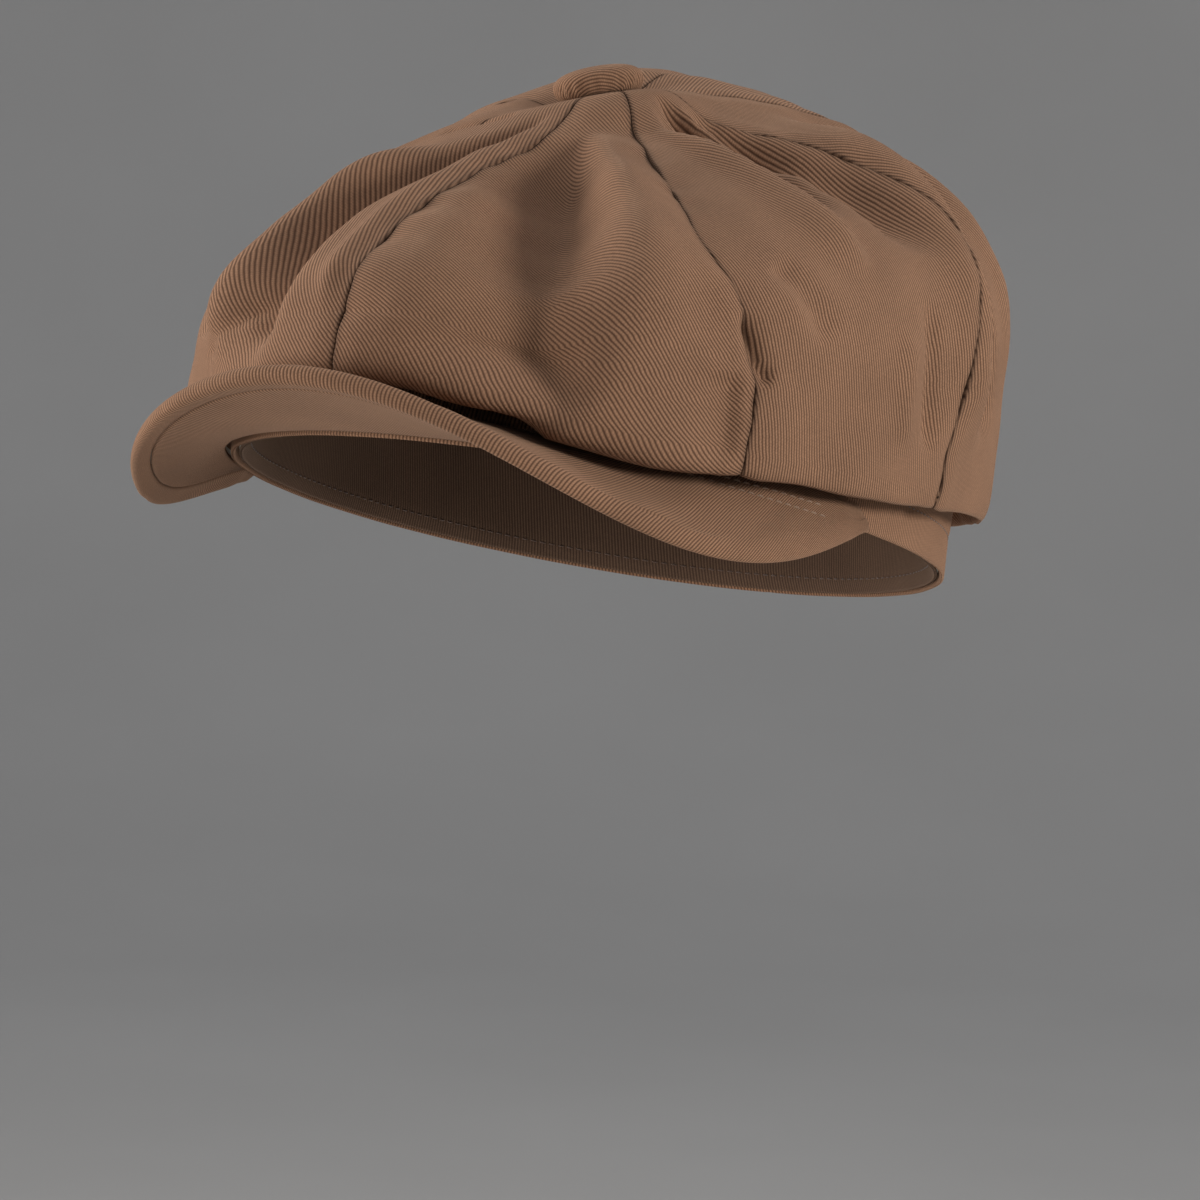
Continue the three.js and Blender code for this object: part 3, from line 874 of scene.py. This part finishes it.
def visor_cover_section(radius):
    """Upper cover: top from the root to the edge, round it, and a narrow turn-under."""
    section = [(1 - f, 1.5 + 0.8 * f, radius) for f in np.linspace(0, 1, VISOR_TOP_ROWS)]
    for degrees in range(80, -91, -10):
        a = math.radians(degrees)
        section.append((0.0, VISOR_HALF - radius * math.cos(a), radius * math.sin(a)))
    return np.array(section + [(0.0, back, -radius) for back in (3.0, 3.7, 4.4, 5.0)])


def visor_pattern(side, outer):
    """The visor's top cloth laid out flat, and the share of its width at each row."""
    step = np.linalg.norm(np.diff(outer, axis=1), axis=2)
    down = np.concatenate([np.zeros((len(side), 1)), np.cumsum(step, axis=1)], axis=1)
    share = np.clip(down / down[:, -1:], 0, 1)
    edge = run_along(visor_middle(side, np.zeros(len(side))))
    root = run_along(visor_middle(side, visor_depth(side)))
    at_root, at_edge = ((run - run[-1] / 2)[:, None] for run in (root, edge))
    return np.stack([at_root * (1 - share) + at_edge * share, down], -1), share


def build_visor(looks):
    side = np.linspace(-VISOR_REACH, VISOR_REACH, 225)
    outer = visor_surface(side, visor_cover_section(VISOR_HALF))
    inner = visor_surface(side, visor_cover_section(VISOR_HALF - VISOR_CLOTH))
    flat, share = visor_pattern(side, outer)
    waves = 0.16 * ripples(77, flat[..., 0], flat[..., 1], 14, 34)
    waves = waves * smoothstep(0, 0.2, share) * (1 - smoothstep(0.86, 1, share))
    waves[:, VISOR_TOP_ROWS:] = 0
    upper = sheet_mesh("visor_top_cloth", outer + UP * waves[..., None], inner, flat)
    finish_cloth(upper, looks["twill"], "twill")
    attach(upper, "visor")
    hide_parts("visor_upper_cover")

    low = np.array([(1 - f, 5.2 * f, -VISOR_HALF) for f in np.linspace(0, 1, 30)])
    high = low + np.array([0, 0, VISOR_CLOTH])
    low[-1, 2] += 0.3
    under, above = visor_surface(side, low), visor_surface(side, high)
    lower = sheet_mesh("visor_under_cloth", under, above, flat[:, : len(low)])
    finish_cloth(lower, looks["twill"], "twill")
    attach(lower, "visor")
    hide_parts("visor_lower_cover")

    for offset, name in ((2.6, "visor_stitches_inner"), (4.8, "visor_stitches_outer")):
        s = np.linspace(-0.88, 0.88, 500)
        path = visor_middle(s, np.maximum(visor_depth(s) - offset, 0.5)) + UP * (VISOR_HALF + 0.05)
        normals = np.tile(UP, (500, 1))
        row = stitch_row(name, path, normals, 2.7, 2.1, 0.2, looks["pale_thread"], wander=9)
        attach(row, "visor")


# ---- button ----
def build_button(looks):
    sides, rows = 96, 30
    axis = BUTTON_AXIS
    right = unit(np.cross(np.array([0.0, 1.0, 0.0]), axis))
    front = np.cross(axis, right)
    centre = BUTTON + BUTTON_LIFT * axis
    profile = []
    for f in np.linspace(0.02, 1, 22):
        a = f * math.pi / 2
        height = BUTTON_WALL + (BUTTON_DOME - BUTTON_WALL) * math.cos(a) ** 0.8
        profile.append((BUTTON_RADIUS * math.sin(a) ** 0.82, height))
    profile += [(10.9, 1.4), (10.4, 0.2), (9.6, -0.6), (8.6, -0.9), (7.4, -0.9)]
    profile = np.array(profile)
    turn = np.arange(sides) / sides * 2 * math.pi

    def surface(inset):
        radius, height = profile[:, 0], profile[:, 1]
        slope = np.gradient(profile, axis=0)
        n = unit(np.stack([slope[:, 1], -slope[:, 0]], -1))
        n = np.where((n[:, 0] < 0)[:, None] & (radius > 3)[:, None] & (height > 1.0)[:, None], -n, n)
        r = radius - inset * np.abs(n[:, 0])
        down = (1 - smoothstep(9.5, 10.9, radius)) * (height > BUTTON_WALL)
        h = height - inset * down + inset * (height <= 0.8)
        pleat = 0.22 * np.sin(22 * turn)[:, None] * smoothstep(8.5, 10.8, radius)[None, :]
        pleat = pleat * (height < 2.6)[None, :]
        around = np.cos(turn)[:, None, None] * right + np.sin(turn)[:, None, None] * front
        spread = (np.maximum(r, 0.15)[None, :] + pleat)[..., None] * around
        return centre + spread + h[None, :, None] * axis

    outer, inner = surface(0.0), surface(0.7)
    closed = np.concatenate([turn, [2 * math.pi]])
    length = 0.2 + run_along(profile)
    flat = np.stack([np.outer(np.cos(closed), length), np.outer(np.sin(closed), length)], -1)
    cover = sheet_mesh("button_cloth", outer, inner, turned(flat, 68), ring=True)
    finish_cloth(cover, looks["twill"], "twill")
    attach(cover, "cap")
    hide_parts("button_cover")


# ---- materials ----
class Nodes:
    """Adds nodes to a material and links them by short calls."""

    def __init__(self, name):
        self.material = bpy.data.materials.new(name)
        self.material.use_nodes = True
        self.tree = self.material.node_tree
        self.tree.nodes.clear()
        self.shader = self.add("BsdfPrincipled")
        self.feed(self.add("OutputMaterial").inputs["Surface"], self.shader.outputs["BSDF"])

    def add(self, kind):
        return self.tree.nodes.new("ShaderNode" + kind)

    def feed(self, socket, value):
        """Links a socket to another one, or gives it a number or a colour."""
        if isinstance(value, bpy.types.NodeSocket):
            self.tree.links.new(value, socket)
        elif isinstance(value, tuple):
            socket.default_value = (*value, 1.0)
        else:
            socket.default_value = value

    def set(self, name, value):
        self.feed(self.shader.inputs[name], value)

    def math(self, operation, a, b=0.0):
        node = self.add("Math")
        node.operation = operation
        self.feed(node.inputs[0], a)
        self.feed(node.inputs[1], b)
        return node.outputs[0]

    def plus(self, a, b):
        return self.math("ADD", a, b)

    def times(self, a, b):
        return self.math("MULTIPLY", a, b)

    def over(self, a, b):
        return self.math("DIVIDE", a, b)

    def wave(self, turns):
        return self.math("COSINE", self.times(turns, 2 * math.pi))

    def noise(self, vector, scale, detail=2.0, roughness=0.5):
        node = self.add("TexNoise")
        values = {"Vector": vector, "Scale": scale, "Detail": detail, "Roughness": roughness}
        for name, value in values.items():
            self.feed(node.inputs[name], value)
        return node.outputs["Fac"]

    def object_noise(self, scale):
        return self.noise(self.add("TexCoord").outputs["Object"], scale, 3.0)

    def remap(self, value, low, high, to_low=0.0, to_high=1.0):
        node = self.add("MapRange")
        for place, number in enumerate((value, low, high, to_low, to_high)):
            self.feed(node.inputs[place], number)
        return node.outputs[0]

    def mix(self, factor, a, b, blend="MIX"):
        node = self.add("Mix")
        node.data_type = "RGBA"
        node.blend_type = blend
        for place, value in ((0, factor), (6, a), (7, b)):
            self.feed(node.inputs[place], value)
        return node.outputs[2]

    def weave_map(self):
        """The map in millimetres, its U and its V."""
        node = self.add("UVMap")
        node.uv_map = "weave"
        split = self.add("SeparateXYZ")
        self.feed(split.inputs[0], node.outputs["UV"])
        return node.outputs["UV"], split.outputs[0], split.outputs[1]

    def seam_shade(self):
        # Reads the painted seam shade kept on the points.
        node = self.add("Attribute")
        node.attribute_name = "seam_shade"
        return node.outputs["Fac"]

    def grey(self, value):
        node = self.add("CombineColor")
        for socket in node.inputs[:3]:
            self.feed(socket, value)
        return node.outputs[0]

    def bump(self, height, depth):
        node = self.add("Bump")
        node.inputs["Strength"].default_value = 1.0
        node.inputs["Distance"].default_value = depth
        self.feed(node.inputs["Height"], height)
        self.set("Normal", node.outputs[0])


def linear(red, green, blue):
    """sRGB values from 0 to 255 as a linear colour."""
    shares = (value / 255 for value in (red, green, blue))
    return tuple(s / 12.92 if s <= 0.04045 else ((s + 0.055) / 1.055) ** 2.4 for s in shares)


def darker(colour, share):
    return tuple(share * channel for channel in colour)


def twill_look(name, crest, rib_shade_colour, rib=RIB, depth=0.00013):
    """Cotton twill: rounded ribs of slanting floats, slightly uneven, with a fine fuzz, painted shade
    in the rib grooves and painted shade along the seams.
    """
    n = Nodes(name)
    uv, u, v = n.weave_map()
    drift = n.times(n.math("SUBTRACT", n.noise(uv, 0.09), 0.5), 0.3)
    waver = n.times(n.math("SUBTRACT", n.noise(uv, 0.55), 0.5), 0.10)
    turns = n.over(n.plus(n.plus(u, drift), waver), rib)
    round_rib = n.math("POWER", n.plus(n.times(n.wave(turns), 0.5), 0.5), 0.75)
    slant = n.plus(n.over(v, 0.66), n.times(n.math("FRACT", turns), 0.85))
    slant = n.plus(slant, n.times(n.math("FLOOR", turns), 0.5))
    floats = n.plus(n.times(n.wave(slant), 0.5), 0.5)
    height = n.times(round_rib, n.plus(n.times(floats, 0.26), 0.74))
    height = n.plus(height, n.times(n.noise(uv, 3.2, 3.0, 0.65), 0.30))
    # Painted shade: by rib height, the rib grooves take the darker colour and the rib crests the
    # lighter one.
    tone = n.remap(height, 0.18, 1.05)
    worn = n.remap(n.noise(uv, 0.035, 3.0, 0.6), 0.3, 0.7, 0.90, 1.10)
    heather = n.remap(n.noise(uv, 1.1, 3.0, 0.6), 0.3, 0.7, 0.90, 1.10)
    # Painted shade: the cloth darkens by up to 45% along the seams and on the turned-in edges.
    seam_shade_factor = n.math("SUBTRACT", 1.0, n.times(n.seam_shade(), 0.45))
    shade = n.times(n.times(worn, heather), seam_shade_factor)
    n.set("Base Color", n.mix(1.0, n.mix(tone, rib_shade_colour, crest), n.grey(shade), "MULTIPLY"))
    n.set("Roughness", n.remap(tone, 0.0, 1.0, 0.96, 0.84))
    n.set("Specular IOR Level", 0.25)
    n.set("Sheen Weight", 0.22)
    n.set("Sheen Roughness", 0.45)
    n.set("Sheen Tint", linear(205, 172, 145))
    n.bump(height, depth)
    return n.material


def satin_look(name, colour):
    n = Nodes(name)
    uv, u, _ = n.weave_map()
    threads = n.wave(n.over(u, 0.35))
    slub = n.noise(uv, 0.6, 3.0, 0.6)
    tone = n.remap(n.plus(n.times(slub, 0.6), n.times(n.noise(uv, 0.04), 0.4)), 0.35, 0.65)
    n.set("Base Color", n.mix(tone, darker(colour, 0.78), darker(colour, 1.15)))
    n.set("Roughness", n.remap(slub, 0.3, 0.7, 0.38, 0.52))
    n.set("Sheen Weight", 0.15)
    n.bump(n.plus(n.times(threads, 0.4), slub), 0.00004)
    return n.material


def felt_look(name, colour):
    n = Nodes(name)
    uv = n.weave_map()[0]
    fibre = n.noise(uv, 2.2, 4.0, 0.7)
    tone = n.remap(n.plus(n.times(fibre, 0.6), n.times(n.noise(uv, 0.15), 0.4)), 0.35, 0.65)
    n.set("Base Color", n.mix(tone, darker(colour, 0.82), colour))
    n.set("Roughness", 0.95)
    n.bump(fibre, 0.00015)
    return n.material


def mottled_look(name, scale, dark, light, roughness, depth, metallic=0.0):
    """A hard, plain material that is a little uneven: the visor's board and the button's tin."""
    n = Nodes(name)
    mottle = n.object_noise(scale)
    n.set("Metallic", metallic)
    n.set("Base Color", n.mix(n.remap(mottle, 0.3, 0.7), dark, light))
    n.set("Roughness", n.remap(mottle, 0.3, 0.7, *roughness))
    n.bump(mottle, depth)
    return n.material


def thread_look(name, colour):
    n = Nodes(name)
    uv, u, v = n.weave_map()
    ply = n.wave(n.plus(n.over(u, 0.7), n.over(v, 0.5)))
    tone = n.remap(n.plus(ply, n.noise(uv, 2.5, 3.0)), -0.6, 1.6)
    n.set("Base Color", n.mix(tone, darker(colour, 0.6), colour))
    n.set("Roughness", 0.7)
    n.set("Sheen Weight", 0.3)
    n.bump(ply, 0.00004)
    return n.material


def make_looks():
    board_colours = (linear(214, 208, 196), linear(232, 228, 217))
    tin_colours = (linear(165, 165, 160), linear(200, 200, 196))
    return {
        # Each twill: rib crest colour, then the darker painted shade of its rib grooves.
        "twill": twill_look("brown_twill", linear(150, 113, 87), linear(84, 58, 42)),
        "sweatband": twill_look("sweatband_twill", linear(104, 80, 63), linear(66, 48, 37),
                                rib=0.8, depth=0.00008),
        "lining": satin_look("dark_satin", linear(74, 56, 45)),
        "interlining": felt_look("interlining", linear(205, 198, 184)),
        "board": mottled_look("visor_board", 240.0, *board_colours, (0.48, 0.62), 0.00005),
        "tin": mottled_look("button_tin", 500.0, *tin_colours, (0.28, 0.45), 0.00003, 1.0),
        "thread": thread_look("brown_thread", linear(96, 68, 50)),
        "pale_thread": thread_look("pale_thread", linear(150, 117, 90)),
    }


# ---- camera, stage and light ----
def make_camera():
    data = bpy.data.cameras.new("camera")
    data.lens = CAMERA_LENS
    data.sensor_width = SENSOR
    data.clip_start = 0.05
    data.clip_end = 50
    camera = bpy.data.objects.new("camera", data)
    swing = Matrix.Rotation(CAMERA_AZIMUTH, 4, "Z")
    rise = Matrix.Rotation(math.pi / 2 - CAMERA_ELEVATION, 4, "X")
    place = Matrix.Translation((AIM_RIGHT, AIM_UP, CAMERA_DISTANCE))
    camera.matrix_world = swing @ rise @ place @ Matrix.Rotation(CAMERA_ROLL, 4, "Z")
    bpy.context.scene.collection.objects.link(camera)
    bpy.context.scene.camera = camera


def area_light(name, place, size, power, colour):
    """A round light that faces the middle of the cap. Its place is given as for camera_side."""
    data = bpy.data.lights.new(name, "AREA")
    data.shape = "DISK"
    data.size = size
    data.energy = power
    data.color = colour
    light = bpy.data.objects.new(name, data)
    light.location = camera_side(*place)
    light.rotation_mode = "QUATERNION"
    light.rotation_quaternion = (Vector((0, 0, 0.05)) - light.location).to_track_quat("-Z", "Y")
    bpy.context.scene.collection.objects.link(light)


def camera_side(right, up, back):
    """A place given from the camera's view: metres to its right, up, and towards it."""
    a = CAMERA_AZIMUTH
    x = right * math.cos(a) + back * math.sin(a)
    y = right * math.sin(a) - back * math.cos(a)
    return (x, y, up)


def make_stage():
    """A pale floor that curves up into a wall all round, well clear of every camera."""
    look = Nodes("pale_floor")
    cloud = look.remap(look.object_noise(3.0), 0.3, 0.7)
    look.set("Base Color", look.mix(cloud, linear(196, 195, 193), linear(201, 200, 198)))
    look.set("Roughness", 0.9)
    level, flat, curve, wall = -0.6, 2.6, 1.6, 1.2
    outline = [(0.02, level), (1.3, level), (flat, level)]
    for degrees in range(10, 91, 10):
        a = math.radians(degrees)
        outline.append((flat + curve * math.sin(a), level + curve * (1 - math.cos(a))))
    outline.append((flat + curve, level + curve + wall))
    sides, rows = 96, len(outline)
    turn = np.arange(sides) / sides * 2 * math.pi
    radius, height = np.array(outline).T
    around = [np.outer(np.cos(turn), radius), np.outer(np.sin(turn), radius)]
    points = np.stack(around + [np.tile(height, (sides, 1))], -1).reshape(-1, 3)
    faces = grid_faces(sides, rows, True)[0][:, ::-1].tolist()
    faces.append([k * rows for k in range(sides)])
    mesh = bpy.data.meshes.new("floor")
    mesh.from_pydata(points.tolist(), [], faces)
    mesh.polygons.foreach_set("use_smooth", [True] * len(faces))
    floor = bpy.data.objects.new("floor", mesh)
    mesh.materials.append(look.material)
    bpy.context.scene.collection.objects.link(floor)


def make_light():
    world = bpy.data.worlds.new("studio")
    world.use_nodes = True
    background = world.node_tree.nodes["Background"]
    background.inputs["Color"].default_value = (0.90, 0.93, 1.0, 1)
    background.inputs["Strength"].default_value = 0.30
    bpy.context.scene.world = world
    white, warm = (1.0, 0.98, 0.96), (1.0, 0.94, 0.87)
    area_light("key", (1.50, 0.35, 0.60), 0.5, 23, (1.0, 0.98, 0.95))
    area_light("front_fill", (-1.2, 0.05, 0.9), 0.8, 13, white)
    area_light("overhead", (0.1, 1.35, -0.3), 0.7, 4.5, white)
    area_light("rim_left", (-1.3, 0.40, -0.4), 0.5, 15, warm)
    area_light("rim_right", (1.3, 0.45, -0.7), 0.5, 2, warm)
    bpy.context.scene.view_settings.view_transform = "Standard"


def dress_cad_nodes(looks):
    """Gives the CAD pieces that stay their finished materials."""
    for name, look in (("visor_board", "board"), ("button_shell", "tin"), ("button_back", "tin")):
        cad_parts[name].material_slots[0].material = looks[look]


make_camera()
looks = make_looks()
build_crown(looks["twill"])
build_lining(looks["lining"])
build_band(looks)
build_visor(looks)
build_button(looks)
dress_cad_nodes(looks)
make_stage()
make_light()
